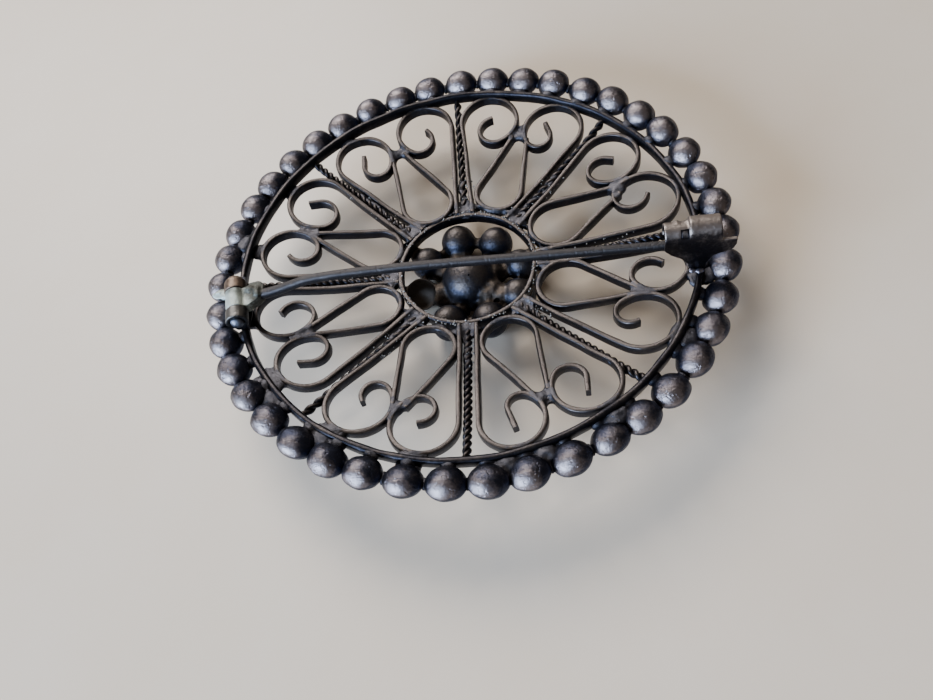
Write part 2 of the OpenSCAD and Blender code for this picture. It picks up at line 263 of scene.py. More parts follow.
# Notch scratched into the roll: its corners as places along and degrees round it, its middle,
# half the scratch's width, and how far from the middle the sheet is dull
NOTCH = ((19.42, 152), (20.0, 152), (20.0, 112), (19.42, 116))
NOTCH_MIDDLE = (19.71, 133)
NOTCH_R = 0.045
NOTCH_DULL = 0.34
# Bright solder at the catch's foot: place over the rim's top, half sizes, lumps, seed, points
# around and down
CATCH_SOLDER = (((21.15, -4.98, 0.05), (0.34, 0.3, 0.22), 0.2, 4, 24, 14),
                ((20.5, -4.92, 0.06), (0.3, 0.26, 0.2), 0.15, 9, 20, 12))


def vec(x, y, z=0.0):
    return Vector((x, y, z))


def polar(r, a, z=0.0):
    return vec(r * math.cos(math.radians(a)), r * math.sin(math.radians(a)), z)


def turned(p, a):
    """The point p turned about the brooch's middle by a degrees."""
    return Matrix.Rotation(math.radians(a), 3, "Z") @ p


def dish(p, drop=0.0):
    """The height of the ribbons' upper edge over the point p."""
    r2 = p.x * p.x + p.y * p.y
    return DISH_LOW + DISH_R - math.sqrt(DISH_R * DISH_R - r2) - drop


def wander(p, size, seed):
    """Smooth noise from -1 to 1 that changes over about size millimetres."""
    return noise.noise(p / size + vec(seed * 7.1, seed * 3.3, seed * 1.7)) * 1.6


class Shape:
    """Points in millimetres and faces, gathered before they become one mesh."""

    def __init__(self):
        self.points = []
        self.faces = []

    def rings(self, rows, closed=False, caps=True):
        """Joins rings of points, each row to the next, with capped ends unless closed."""
        base, n, count = len(self.points), len(rows[0]), len(rows)
        for row in rows:
            self.points.extend(row)
        for i in range(count if closed else count - 1):
            j = (i + 1) % count
            for k in range(n):
                m = (k + 1) % n
                self.faces.append((base + i * n + k, base + i * n + m,
                                   base + j * n + m, base + j * n + k))
        if caps and not closed:
            self.faces.append(tuple(base + k for k in reversed(range(n))))
            self.faces.append(tuple(base + (count - 1) * n + k for k in range(n)))

    def ball(self, centre, radii, lumps, lump_size, seed, around, down, lean=None):
        """An ellipsoid with a lumpy skin, of so many points around and down; lean turns it."""
        rx, ry, rz = radii
        rows = []
        for i in range(down + 1):
            t = math.pi * min(max(i, 0.02), down - 0.02) / down
            row = []
            for k in range(around):
                u = 2 * math.pi * k / around
                d = vec(math.sin(t) * math.cos(u), math.sin(t) * math.sin(u), math.cos(t))
                grow = 1 + lumps * wander(d * max(radii) + centre, lump_size, seed)
                p = vec(d.x * rx * grow, d.y * ry * grow, d.z * rz * grow)
                row.append(centre + (lean @ p if lean else p))
            rows.append(row)
        self.rings(rows)

    def shot(self, centre, lean, wide, long, up, low, lumps, seed):
        """A flattened bead with a faint seam round its widest part."""
        rows = []
        around, down = 44, 26
        for i in range(down + 1):
            t = math.pi * min(max(i, 0.02), down - 0.02) / down
            seam = 1 + SEAM * math.exp(-(math.cos(t) / SEAM_WIDTH) ** 2)
            row = []
            for k in range(around):
                u = 2 * math.pi * k / around
                d = vec(math.sin(t) * math.cos(u), math.sin(t) * math.sin(u), math.cos(t))
                grow = 1 + lumps * wander(d * wide + centre, 0.9, seed)
                reach = up if d.z > 0 else low
                row.append(centre + lean @ (vec(d.x * wide * seam, d.y * long * seam,
                                                d.z * reach) * grow))
            rows.append(row)
        self.rings(rows)

    def tube(self, line, radius, sides, closed=False):
        """A round tube along line."""
        rows = []
        for i, p in enumerate(line):
            before = line[i - 1] if i or closed else p
            after = line[(i + 1) % len(line)] if closed or i + 1 < len(line) else p
            along = (after - before).normalized()
            side = along.cross(vec(0, 0, 1)).normalized()
            up = side.cross(along)
            rows.append([p + side * radius * math.cos(2 * math.pi * k / sides)
                         + up * radius * math.sin(2 * math.pi * k / sides)
                         for k in range(sides)])
        self.rings(rows, closed)

    def node(self, name):
        """Adds the mesh of a CAD node."""
        base = len(self.points)
        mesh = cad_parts[name].data
        self.points.extend(v.co / MM for v in mesh.vertices)
        self.faces.extend(tuple(base + i for i in f.vertices) for f in mesh.polygons)


def edge_section(width, height, corner):
    """The outline of a ribbon on edge, its top at 0, with rounded corners."""
    out = []
    for cx, cz, start in ((width / 2 - corner, -corner, 0), (corner - width / 2, -corner, 90),
                          (corner - width / 2, corner - height, 180),
                          (width / 2 - corner, corner - height, 270)):
        for a in (0, 45, 90):
            q = polar(corner, start + a)
            out.append((cx + q.x, cz + q.y))
    return out


def ribbon(shape, line, seed, width=RIBBON_T, height=RIBBON_H, closed=False, top=None,
           grow=0.0, corner=RIBBON_CORNER):
    """A hand-bent ribbon on edge along a flat line, its upper edge on the dish.

    With grow it is a sleeve over the same ribbon, which sinks into it at both ends."""
    section = edge_section(width, height, corner)
    rows = []
    for i, p in enumerate(line):
        swell = grow * min(1.0, 1.7 * math.sin(math.pi * i / (len(line) - 1)) - 0.7)
        before = line[i - 1] if i or closed else p
        after = line[(i + 1) % len(line)] if closed or i + 1 < len(line) else p
        side = (after - before).normalized().cross(vec(0, 0, 1))
        z = (top if top is not None else dish(p)) + 0.05 * wander(p, 3.0, seed)
        fat = 1 + 0.1 * wander(p, 1.6, seed + 1)
        lean = 0.06 * wander(p, 4.0, seed + 2)
        rows.append([vec(p.x, p.y, z + b + math.copysign(swell, b + height / 2))
                     + side * (a * fat + math.copysign(swell, a) + lean * (1 + b / height))
                     for a, b in section])
    shape.rings(rows, closed)


def resample(line, step=0.22):
    """Points about a step apart along a chain of points."""
    out = [line[0]]
    for a, b in zip(line, line[1:]):
        n = max(1, round((b - a).length / step))
        out.extend(a.lerp(b, i / n) for i in range(1, n + 1))
    return out


def arc(centre, r, start, end):
    n = max(2, round(abs(end - start) / ARC_STEP))
    return [centre + polar(r, start + (end - start) * i / n) for i in range(n + 1)]


def leg_angle(foot, centre, r):
    """Where the straight leg from foot touches a circle, as an angle below 0."""
    d = centre - foot
    return (math.degrees(math.atan2(d.y, d.x)) - 180
            + math.degrees(math.acos(r / d.length)))


def scroll_line(row):
    """The middle line of one scroll in the brooch's frame, and its lobe's centre."""
    spoke, side, out, off, lobe, curl_at, curl, turn, end = row
    centre = vec(out, off)
    foot = vec(RING_R + 0.2, FOOT_OFF)
    start = leg_angle(foot, centre, lobe)
    inner = centre + polar(lobe - curl, curl_at)
    tip = inner + polar(curl, curl_at + turn)
    line = [foot, *arc(centre, lobe, start, curl_at),
            *arc(inner, curl, curl_at, curl_at + turn)[1:],
            tip + polar(end, curl_at + turn + 90)]
    flip = [turned(vec(p.x, p.y * side), SPOKES[spoke]) for p in line]
    return flip, turned(vec(centre.x, centre.y * side), SPOKES[spoke])


def make(name, shape, material, body, nodes=(), smooth=45, merge=False):
    """Turns a shape into a piece that rides on a body and stands for CAD nodes."""
    mesh = bpy.data.meshes.new(name)
    mesh.from_pydata([p * MM for p in shape.points], [], shape.faces)
    bm = bmesh.new()
    bm.from_mesh(mesh)
    if merge:
        bmesh.ops.remove_doubles(bm, verts=bm.verts, dist=0.001 * MM)
    bmesh.ops.recalc_face_normals(bm, faces=bm.faces)
    bm.to_mesh(mesh)
    bm.free()
    mesh.shade_smooth()
    mesh.set_sharp_from_angle(angle=math.radians(smooth))
    mesh.materials.append(material)
    piece = bpy.data.objects.new(name, mesh)
    bpy.context.scene.collection.objects.link(piece)
    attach(piece, body)
    if nodes:
        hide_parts(*nodes)
    return piece


def apply_modifiers(piece):
    """Replaces the piece's mesh by what its modifiers make of it."""
    graph = bpy.context.evaluated_depsgraph_get()
    made = bpy.data.meshes.new_from_object(piece.evaluated_get(graph))
    old = piece.data
    piece.modifiers.clear()
    piece.data = made
    bpy.data.meshes.remove(old)


def melt(piece, voxel, rounds=3, fill=0.0):
    """Fuses the solids of a piece into one skin with soft edges, as solder and long use do.

    The skin is swelled and shrunk again by fill millimetres, which rounds its inner corners.
    Without fill, the repeated fusing does so a little."""
    for swell in (0.0, fill, -fill):
        if swell:
            push = piece.modifiers.new("push", "DISPLACE")
            push.mid_level = 0.0
            push.strength = swell * MM
        if swell >= 0:
            remesh = piece.modifiers.new("fuse", "REMESH")
            remesh.mode = "VOXEL"
            remesh.voxel_size = voxel * MM
    soft = piece.modifiers.new("soften", "SMOOTH")
    soft.factor = 0.5
    soft.iterations = rounds
    apply_modifiers(piece)
    piece.data.shade_smooth()


def weather(piece, amount, size, seed):
    """Moves a mesh's points along their normals by smooth noise, in millimetres."""
    mesh = piece.data
    normals = [v.normal.copy() for v in mesh.vertices]
    for v, n in zip(mesh.vertices, normals):
        p = v.co / MM
        v.co += n * (amount * MM * (wander(p, size, seed) + 0.5 * wander(p, size / 3, seed)))
    mesh.update()


def mark_wear_and_sheen(piece, low, high, base=0.0, way=vec(0, 0)):
    """Stores how much each point is bare silver or painted sheen: base where the skin's upward
    facing plus its facing along way is less than low, and all where it is more than high.
    Upward facing stands for rubbing; facing along way adds a painted highlight on the side
    turned that way."""
    mesh = piece.data
    layer = mesh.attributes.new("wear_and_sheen", "FLOAT", "POINT")
    for v, item in zip(mesh.vertices, layer.data):
        t = (v.normal.z + max(0.0, v.normal.dot(way)) - low) / (high - low)
        t = max(0.0, min(1.0, t))
        item.value = base + (1 - base) * t * t * (3 - 2 * t)


# Materials
class Nodes:
    """Short calls for a material's node tree."""

    def __init__(self, name):
        self.material = bpy.data.materials.new(name)
        self.material.use_nodes = True
        self.tree = self.material.node_tree
        self.shader = self.tree.nodes["Principled BSDF"]
        at = self.tree.nodes.new("ShaderNodeTexCoord")
        self.place = self.tree.nodes.new("ShaderNodeVectorMath")
        self.place.operation = "SCALE"
        self.place.inputs["Scale"].default_value = 1 / MM
        self.join(at.outputs["Object"], self.place.inputs[0])

    def join(self, a, b):
        self.tree.links.new(a, b)

    def noise(self, size, detail=4.0, rough=0.6, stretch=None):
        """Noise whose lumps are about size millimetres, stretched along an axis."""
        node = self.tree.nodes.new("ShaderNodeTexNoise")
        node.inputs["Scale"].default_value = 1 / size
        node.inputs["Detail"].default_value = detail
        node.inputs["Roughness"].default_value = rough
        place = self.place.outputs[0]
        if stretch:
            move = self.tree.nodes.new("ShaderNodeMapping")
            move.inputs["Scale"].default_value = stretch
            self.join(place, move.inputs["Vector"])
            place = move.outputs["Vector"]
        self.join(place, node.inputs["Vector"])
        return node.outputs["Fac"]

    def math(self, kind, a, b=0.0, c=0.0):
        node = self.tree.nodes.new("ShaderNodeMath")
        node.operation = kind
        for socket, value in zip(node.inputs, (a, b, c)):
            if isinstance(value, (int, float)):
                socket.default_value = value
            else:
                self.join(value, socket)
        return node.outputs[0]

    def span(self, value, low, high, out_low=0.0, out_high=1.0):
        """Maps a value from low..high smoothly to out_low..out_high."""
        node = self.tree.nodes.new("ShaderNodeMapRange")
        node.interpolation_type = "SMOOTHSTEP"
        self.join(value, node.inputs["Value"])
        for name, number in (("From Min", low), ("From Max", high), ("To Min", out_low),
                             ("To Max", out_high)):
            node.inputs[name].default_value = number
        return node.outputs["Result"]

    def mix(self, factor, a, b):
        node = self.tree.nodes.new("ShaderNodeMix")
        node.data_type = "RGBA"
        self.join(factor, node.inputs[0])
        for socket, value in ((node.inputs[6], a), (node.inputs[7], b)):
            if isinstance(value, tuple):
                socket.default_value = (*value, 1)
            else:
                self.join(value, socket)
        return node.outputs[2]

    def attribute(self, name):
        node = self.tree.nodes.new("ShaderNodeAttribute")
        node.attribute_name = name
        return node.outputs["Fac"]

    def hollows(self, distance):
        """1 in the open and less in crevices narrower than distance millimetres."""
        node = self.tree.nodes.new("ShaderNodeAmbientOcclusion")
        node.inputs["Distance"].default_value = distance * MM
        node.samples = 4
        return node.outputs["AO"]

    def bump(self, height, strength, distance):
        node = self.tree.nodes.new("ShaderNodeBump")
        node.inputs["Strength"].default_value = strength
        node.inputs["Distance"].default_value = distance * MM
        self.join(height, node.inputs["Height"])
        self.join(node.outputs["Normal"], self.shader.inputs["Normal"])


def old_silver(name, dark, worn_and_sheen, bare=0.5, gloss=0.3, pits=0.35, grime=0.6, metal=1.0,
               blotch=1.0, relief=0.4):
    """Oxidised silver: dark in its hollows, bare where the skin faces up and rubbing took the
    oxide off, and given a painted sheen where the stored value holds a highlight for a lit
    side.

    bare is how much the stored rubbing and painted sheen count. The noises average 0.5, so
    blotch spreads them into patches round the same middle. grime is how dark narrow hollows
    become."""
    n = Nodes(name)
    patches = n.noise(1.6, 5)
    grain = n.noise(0.22, 6, 0.7)
    scratches = n.noise(0.5, 4, 0.6, (1.0, 7.0, 3.0))
    wear_and_sheen = n.attribute("wear_and_sheen")
    rubbing_and_sheen = n.math("MULTIPLY_ADD", wear_and_sheen, bare, 0.225 - 0.675 * blotch)
    rubbing_and_sheen = n.math("MULTIPLY_ADD", patches, 0.9 * blotch, rubbing_and_sheen)
    rubbing_and_sheen = n.math("MULTIPLY_ADD", grain, 0.45 * blotch, rubbing_and_sheen)
    rubbing_and_sheen = n.span(rubbing_and_sheen, 0.2, 0.75)
    open_air = n.span(n.hollows(0.7), 0.2, 0.85, 1 - grime, 1.0)
    colour = n.mix(rubbing_and_sheen, dark, worn_and_sheen)
    colour = n.mix(open_air, tuple(0.25 * c for c in dark), colour)
    n.join(colour, n.shader.inputs["Base Color"])
    rough = n.math("MULTIPLY_ADD", grain, 0.3, gloss - 0.12)
    rough = n.math("MULTIPLY_ADD", scratches, 0.15, rough)
    n.join(rough, n.shader.inputs["Roughness"])
    n.shader.inputs["Metallic"].default_value = metal
    holes = n.span(n.noise(0.35, 2, 0.5), 0.56, 0.72, 0.0, -1.0)
    height = n.math("MULTIPLY_ADD", holes, pits, n.math("MULTIPLY_ADD", scratches, 0.8, grain))
    n.bump(height, relief, 0.06)
    return n.material


DARK = old_silver("dark_silver", (0.024, 0.025, 0.034), (0.09, 0.081, 0.081), gloss=0.28)
# The light colour is both the bare silver of the beads' tops and a painted highlight, the
# reflection of the lit table and window, on their sides facing -Y
BEAD = old_silver("bead_silver", (0.036, 0.042, 0.07), (0.27, 0.245, 0.262), gloss=0.25,
                  pits=0.9, relief=0.6)
BOSS = old_silver("boss_silver", (0.033, 0.039, 0.06), (0.1, 0.09, 0.088), bare=0.45,
                  gloss=0.31, pits=0.5, relief=0.5)
BOSS_MELT = old_silver("boss_solder", (0.03, 0.027, 0.026), (0.12, 0.1, 0.088), bare=0.4,
                       gloss=0.46, pits=0.6, relief=0.7)
CUP = old_silver("petal_inside", (0.05, 0.04, 0.033), (0.11, 0.09, 0.075), gloss=0.5,
                 pits=0.5, grime=0.2, metal=0.0)
SOLDER = old_silver("solder", (0.032, 0.035, 0.048), (0.12, 0.12, 0.14), bare=0.35,
                    gloss=0.4, pits=0.7, relief=0.6)
SHINE = old_silver("bright_solder", (0.06, 0.06, 0.085), (0.3, 0.3, 0.38), bare=0.8,
                   gloss=0.25, pits=0.3)
SPECK = old_silver("solder_specks", (0.03, 0.03, 0.035), (0.34, 0.33, 0.32), bare=0.6,
                   gloss=0.34, pits=0.3)
# The light colour is both bare silver on the catch's top and a painted highlight on its faces
# turned to -X
HOOK = old_silver("worn_silver", (0.02, 0.019, 0.024), (0.32, 0.285, 0.272), bare=0.62,
                  gloss=0.32, pits=0.15, grime=0.5, blotch=0.9)
# The knuckles' light colours are both bare silver on their tops and a painted highlight on
# their sides facing -X
HINGE = old_silver("hinge_silver", (0.05, 0.037, 0.03), (0.22, 0.17, 0.14), bare=0.6,
                   gloss=0.36)
KNUCKLE = old_silver("near_knuckle", (0.045, 0.047, 0.052), (0.17, 0.17, 0.17), bare=0.6,
                     gloss=0.34)
RIVET = old_silver("rivet_wire", (0.08, 0.09, 0.12), (0.2, 0.23, 0.3), bare=0.6, gloss=0.36)
ROOT = old_silver("root_metal", (0.045, 0.048, 0.042), (0.5, 0.58, 0.555), bare=1.0,
                  gloss=0.26, pits=0.6, grime=0.7, metal=0.4, relief=0.8)
WIRE = old_silver("pin_wire", (0.032, 0.032, 0.038), (0.086, 0.083, 0.088), bare=0.6,
                  gloss=0.48, pits=0.7, relief=0.6)


def camera():
    data = bpy.data.cameras.new("camera")
    data.lens = CAMERA_LENS
    data.sensor_width = CAMERA_SENSOR
    data.clip_start, data.clip_end = CAMERA_CLIP
    cam = bpy.data.objects.new("camera", data)
    back = CAMERA_RIGHT.cross(CAMERA_UP)
    cam.matrix_world = Matrix.Translation(CAMERA_AT * MM) @ Matrix(
        (CAMERA_RIGHT, CAMERA_UP, back)).transposed().to_4x4()
    bpy.context.scene.collection.objects.link(cam)
    bpy.context.scene.camera = cam


def floor():
    n = Nodes("table")
    cloud = n.noise(14, 5)
    n.join(n.mix(cloud, *TABLE_COLOURS), n.shader.inputs["Base Color"])
    n.shader.inputs["Roughness"].default_value = 0.4
    mesh = bpy.data.meshes.new("table")
    half = TABLE_HALF
    mesh.from_pydata([(-half, -half, 0), (half, -half, 0), (half, half, 0), (-half, half, 0)],
                     [], [(0, 1, 2, 3)])
    mesh.materials.append(n.material)
    table = bpy.data.objects.new("table", mesh)
    bpy.context.scene.collection.objects.link(table)


def lamp(name, direction, distance, size, power, colour):
    """A soft rectangular lamp that looks at the brooch from a direction."""
    data = bpy.data.lights.new(name, "AREA")
    data.shape = "RECTANGLE"
    data.size, data.size_y = size
    data.energy = power
    data.color = colour
    lamp_object = bpy.data.objects.new(name, data)
    d = Vector(direction).normalized()
    lamp_object.location = d * distance
    lamp_object.rotation_mode = "QUATERNION"
    lamp_object.rotation_quaternion = (-d).to_track_quat("-Z", "Y")
    bpy.context.scene.collection.objects.link(lamp_object)


def light():
    lamp("window", *WINDOW)
    lamp("ceiling", *CEILING)
    world = bpy.data.worlds.new("room")
    world.use_nodes = True
    back = world.node_tree.nodes["Background"]
    back.inputs["Color"].default_value = (*ROOM_COLOUR, 1)
    back.inputs["Strength"].default_value = ROOM_POWER
    bpy.context.scene.world = world


def bead_angle(i):
    return BEAD_FIRST - i * 360 / BEADS


def bead_place(i):
    """A bead's height and its distance from the middle."""
    for (a, low_z, low_r), (b, high_z, high_r) in zip(BEAD_PLACES, BEAD_PLACES[1:]):
        if a <= i <= b:
            t = (i - a) / (b - a)
            return low_z + (high_z - low_z) * t, low_r + (high_r - low_r) * t


def border():
    """The shot beads, each a little different, with solder between them."""
    shape = Shape()
    necks = Shape()
    places = []
    for i in range(BEADS):
        z, r = bead_place(i)
        a = bead_angle(i) + dice.uniform(-0.3, 0.3)
        centre = polar(r + dice.uniform(-0.05, 0.05), a, z + dice.uniform(-0.06, 0.06))
        places.append(centre)
        fat = dice.uniform(0.97, 1.02)
        lean = (Matrix.Rotation(math.radians(a), 3, "Z")
                @ Matrix.Rotation(math.radians(dice.uniform(-8, 8)), 3, "X")
                @ Matrix.Rotation(math.radians(-BEAD_LEAN + dice.uniform(-7, 7)), 3, "Y"))
        shape.shot(centre, lean, BEAD_WIDE * fat, BEAD_LONG * fat,
                   BEAD_UP * dice.uniform(0.95, 1.04), BEAD_LOW * dice.uniform(0.9, 1.06),
                   ROUGH_LUMPS if i in ROUGH_BEADS else BEAD_LUMPS, i)
    for i, here in enumerate(places):
        mid = (here + places[(i + 1) % BEADS]) / 2
        lean = Matrix.Rotation(math.radians(bead_angle(i + 0.5)), 3, "Z")
        necks.ball(mid - vec(0, 0, 0.15), NECK, 0.15, 0.6, i, 20, 12, lean)
        inward = here.lerp(vec(0, 0, here.z), BEAD_FOOT_OFF / BEAD_PLACES[0][2])
        inward.z = here.lerp(vec(0, 0, RIM_TOP - 0.6), 0.4).z
        lean = Matrix.Rotation(math.radians(bead_angle(i)), 3, "Z")
        necks.ball(inward, BEAD_FOOT, 0.15, 0.6, i + 60, 16, 10, lean)
        if i in FILLED_GAPS:
            a = bead_angle(i + 0.5)
            lean = Matrix.Rotation(math.radians(a), 3, "Z")
            necks.ball(polar(RIM_R + 0.8, a, RIM_TOP - 0.5), GAP_FILL, 0.18, 0.6, i + 120,
                       24, 14, lean)
    beads = make("border_beads", shape, BEAD, "brooch", ["openwork"], 80)
    # Bare tops, and a painted highlight, the reflection of the lit table and window, on the
    # sides that face -Y and a little -X
    mark_wear_and_sheen(beads, 0.78, 1.3, way=vec(-0.25, -0.8, 0))
    solder = make("border_solder", necks, SOLDER, "brooch", ["openwork"], 80)
    melt(solder, 0.12, 3, 0.12)
    mark_wear_and_sheen(solder, 0.4, 1.2)


def rim():
    shape = Shape()
    line = [polar(RIM_R, 360 * i / RIM_STEPS) for i in range(RIM_STEPS)]
    ribbon(shape, line, 5, RIM_T, RIM_H, closed=True, top=RIM_TOP, corner=RIM_CORNER)
    piece = make("rim_band", shape, DARK, "brooch", ["openwork"], 80)
    mark_wear_and_sheen(piece, 0.75, 1.25)


def sleeves(shape, lines, at, reach):
    """Covers the parts of the ribbons that lie within reach of a point with thin sleeves."""
    for line, seed in lines:
        run = []
        for p in [*line, None]:
            if p is not None and (p - at).length < reach:
                run.append(p)
                continue
            if len(run) > 3:
                ribbon(shape, run, seed, grow=0.02)
            run = []


def pad(shape, at, way, radii, drop, seed):
    """A lump of solder at a point, turned to a direction, its middle below the dish."""
    lean = Matrix.Rotation(math.radians(way), 3, "Z")
    shape.ball(vec(at.x, at.y, dish(at) - drop), radii, 0.18, 0.7, seed, 20, 12, lean)


def scrollwork():
    """The ribbons: sixteen scrolls and eight teardrop loops, soldered where they touch."""
    scrolls = Shape()
    drops = Shape()
    outer = Shape()
    inner = Shape()
    lines = []
    touches = []
    for i, row in enumerate(SCROLLS):
        line, centre = scroll_line(row)
        lines.append((resample(line), 10 + i))
        ribbon(scrolls, lines[-1][0], 10 + i)
        touches.append((centre, row[4]))
    for i, (way, eye, r, apex) in enumerate(TEARDROPS):
        spread = math.degrees(math.acos(r / (apex - eye)))
        line = arc(vec(eye, 0), r, spread, 360 - spread)
        ends = [p.lerp(vec(apex, 0), (SIDE_END - p.x) / (apex - p.x))
                for p in (line[0], line[-1])]
        lines.append((resample([turned(p, way) for p in (ends[0], *line, ends[1])]), 40 + i))
        ribbon(drops, lines[-1][0], 40 + i)
    for i, (centre, lobe) in enumerate(touches):
        reach = centre.length + lobe
        at = centre.normalized() * ((reach + RIM_R) / 2)
        size = max(0.25, (RIM_R - reach) / 2 + 0.15)
        pad(outer, at, math.degrees(math.atan2(at.y, at.x)), (size, 0.95, 0.4), 0.56, i)
        sleeves(outer, lines, centre.normalized() * reach, 1.3)
    for i, a in enumerate(HEAVY_SOLDER):
        pad(outer, polar(RIM_R - 0.3, a), a, HEAVY_PAD, 0.45, i + 70)
        pad(outer, polar(RIM_R + 0.7, a), a, HEAVY_PAD_OUT, 0.5, i + 80)
    for i, (way, eye, r, _) in enumerate(TEARDROPS):
        knot = polar(KNOT, way)
        pad(outer, knot, way, KNOT_PAD, 0.45, i + 20)
        sleeves(outer, lines, knot, 1.5)
        foot = polar(eye - r - 0.05, way)
        pad(inner, foot, way, EYE_PAD, 0.45, i + 30)
        sleeves(inner, lines, foot, 1.4)
    for i, a in enumerate(SPOKES):
        foot = polar(RING_R + 0.5, a)
        pad(inner, foot, a, SPOKE_PAD, 0.5, i + 50)
        sleeves(inner, lines, foot, 1.5)
        begin, end = CLOGS[i]
        for k in range(int((end - begin) / CLOG_STEP)):
            r = begin + CLOG_STEP * k
            at = turned(vec(r, 0.35 * wander(vec(r, i), 1.5, 7)), a)
            size = 0.34 + 0.12 * wander(vec(r, i), 0.8, 9)
            clogged = inner if r < CLOG_OUTER else outer
            pad(clogged, at, a, (0.4, size, 0.34), 0.55, 100 * i + k)
    for name, shape in (("scroll_ribbons", scrolls), ("teardrop_ribbons", drops)):
        piece = make(name, shape, DARK, "brooch", ["openwork"])
        mark_wear_and_sheen(piece, 0.3, 0.9)
    for name, shape in (("outer_solder", outer), ("inner_solder", inner)):
        piece = make(name, shape, SOLDER, "brooch", ["openwork"], 80)
        melt(piece, 0.1, 3, 0.3)
        weather(piece, 0.012, 0.5, 12)
        mark_wear_and_sheen(piece, 0.3, 1.0)


def spokes():
    """Two strands of wire twisted together, from the ring to the rim."""
    shape = Shape()
    start, end = RING_R + 0.1, RIM_R - 0.25
    for i, a in enumerate(SPOKES):
        for half in (0, 180):
            line = []
            for k in range(SPOKE_STEPS + 1):
                r = start + (end - start) * k / SPOKE_STEPS
                turn = math.radians(360 * r / TWISTS[i] + half + 40 * i)
                p = vec(r, STRAND_OFF * math.cos(turn))
                p.z = dish(p, SPOKE_DROP) + STRAND_OFF * math.sin(turn)
                p.y += 0.08 * wander(vec(r, 3 * i), 5.0, 3)
                line.append(turned(p, a))
            shape.tube(line, STRAND_R, 8)
    piece = make("twisted_spokes", shape, DARK, "brooch", ["openwork"], 80)
    mark_wear_and_sheen(piece, 0.5, 1.1)


def centre_ring():
    """The ring round the boss, and the grains of solder on it and beside the spokes."""
    shape = Shape()
    line = [polar(RING_R, 360 * i / RING_STEPS) for i in range(RING_STEPS)]
    ribbon(shape, line, 71, RING_T, RING_TOP - RING_LOW, closed=True, top=RING_TOP)
    piece = make("centre_ring", shape, DARK, "brooch", ["openwork"])
    mark_wear_and_sheen(piece, 0.8, 1.0)
    grains = Shape()
    for i in range(RING_GRAINS):
        a = dice.uniform(0, 360)
        r = RING_R + dice.uniform(-0.2, 0.4)
        size = dice.uniform(0.05, 0.12)
        grains.ball(polar(r, a, RING_TOP - 0.02 + dice.uniform(-0.06, 0.03)),
                    (size, size, size * 0.8), 0, 1, i, 6, 4)
    for a, (_, high) in zip(SPOKES, CLOGS):
        for i in range(SPOKE_GRAINS):
            r = dice.uniform(RING_R + 0.4, max(high, 10.0))
            side = dice.choice((-1, 1)) * FOOT_OFF if dice.random() < 0.6 else 0.0
            p = turned(vec(r, side + dice.uniform(-0.35, 0.35)), a)
            size = dice.uniform(0.04, 0.11)
            p.z = dish(p, 0.08 + dice.uniform(0, 0.2) + (0.15 if side == 0 else 0))
            grains.ball(p, (size, size, size), 0, 1, i, 6, 4)
    piece = make("solder_grains", grains, SPECK, "brooch", ["openwork"], 80)
    mark_wear_and_sheen(piece, -0.3, 0.6, 0.1)


def carve(piece, cutter):
    """Cuts the closed shape cutter out of a piece."""
    mesh = bpy.data.meshes.new("cutter")
    mesh.from_pydata([p * MM for p in cutter.points], [], cutter.faces)
    bm = bmesh.new()
    bm.from_mesh(mesh)
    bmesh.ops.recalc_face_normals(bm, faces=bm.faces)
    bm.to_mesh(mesh)
    bm.free()
    tool = bpy.data.objects.new("cutter", mesh)
    bpy.context.scene.collection.objects.link(tool)
    cut = piece.modifiers.new("cut", "BOOLEAN")
    cut.operation = "DIFFERENCE"
    cut.solver = "EXACT"
    cut.object = tool
    apply_modifiers(piece)
    bpy.data.objects.remove(tool)
    bpy.data.meshes.remove(mesh)


def boss():
    """The ball and its petals, with the solder that runs between them."""
    shape = Shape()
    shape.ball(vec(*BALL_AT), (BALL_R, BALL_R, BALL_R), 0.01, 2.0, 1, 64, 40)
    for i, (x, y, r) in enumerate(PETALS):
        shape.ball(vec(x, y, r), (r, r, r), 0.012, 1.4, i + 2, 40, 26)
        if y < SOLDERED_BELOW:
            a = math.degrees(math.atan2(y, x))
            lean = Matrix.Rotation(math.radians(a), 3, "Z")
            shape.ball(polar(RING_R - 0.2, a, RING_LOW - 0.15), PETAL_PAD, 0.15, 0.7, i + 22,
                       20, 12, lean)
    for i, (at, radii) in enumerate(BOSS_SOLDER):
        shape.ball(vec(*at), radii, 0.15, 0.9, i + 40, 32, 20)
    piece = make("boss_and_petals", shape, BOSS, "brooch", ["boss"], 80)
    melt(piece, 0.1, 3, 0.25)
    holes = Shape()
    x, y, r = PETALS[OPEN_PETAL]
    hollow = vec(x, y, r) + vec(*HOLLOW_OFF)
    holes.ball(hollow, (HOLLOW_R, HOLLOW_R, HOLLOW_R), 0, 1, 0, 40, 26)
    for (at, radii), around, down in ((VENT, 16, 10), (MELT_GAP, 20, 12)):
        holes.ball(vec(*at), radii, 0, 1, 0, around, down)
    carve(piece, holes)
    weather(piece, 0.014, 0.9, 4)
    for v in piece.data.vertices:
        v.co.z = max(v.co.z, 0.0)
    # Faces in the hollow take the cup's look, and faces off every ball the solder's
    piece.data.materials.append(CUP)
    piece.data.materials.append(BOSS_MELT)
    balls = [(vec(*BALL_AT), BALL_R), *((vec(x, y, r), r) for x, y, r in PETALS)]
    for f in piece.data.polygons:
        p = f.center / MM
        if (p - hollow).length < HOLLOW_R + 0.04:
            f.material_index = 1
        elif min((p - at).length - r for at, r in balls) > 0.07:
            f.material_index = 2
    piece.data.set_sharp_from_angle(angle=math.radians(50))
    mark_wear_and_sheen(piece, 0.3, 1.15)


def low_edge(x):
    """The height of the catch sheet's lower edge at x."""
    for (a, low), (b, high) in zip(SHEET_LOW, SHEET_LOW[1:]):
        if a <= x <= b:
            return low + (high - low) * (x - a) / (b - a)
    return SHEET_LOW[-1][1]


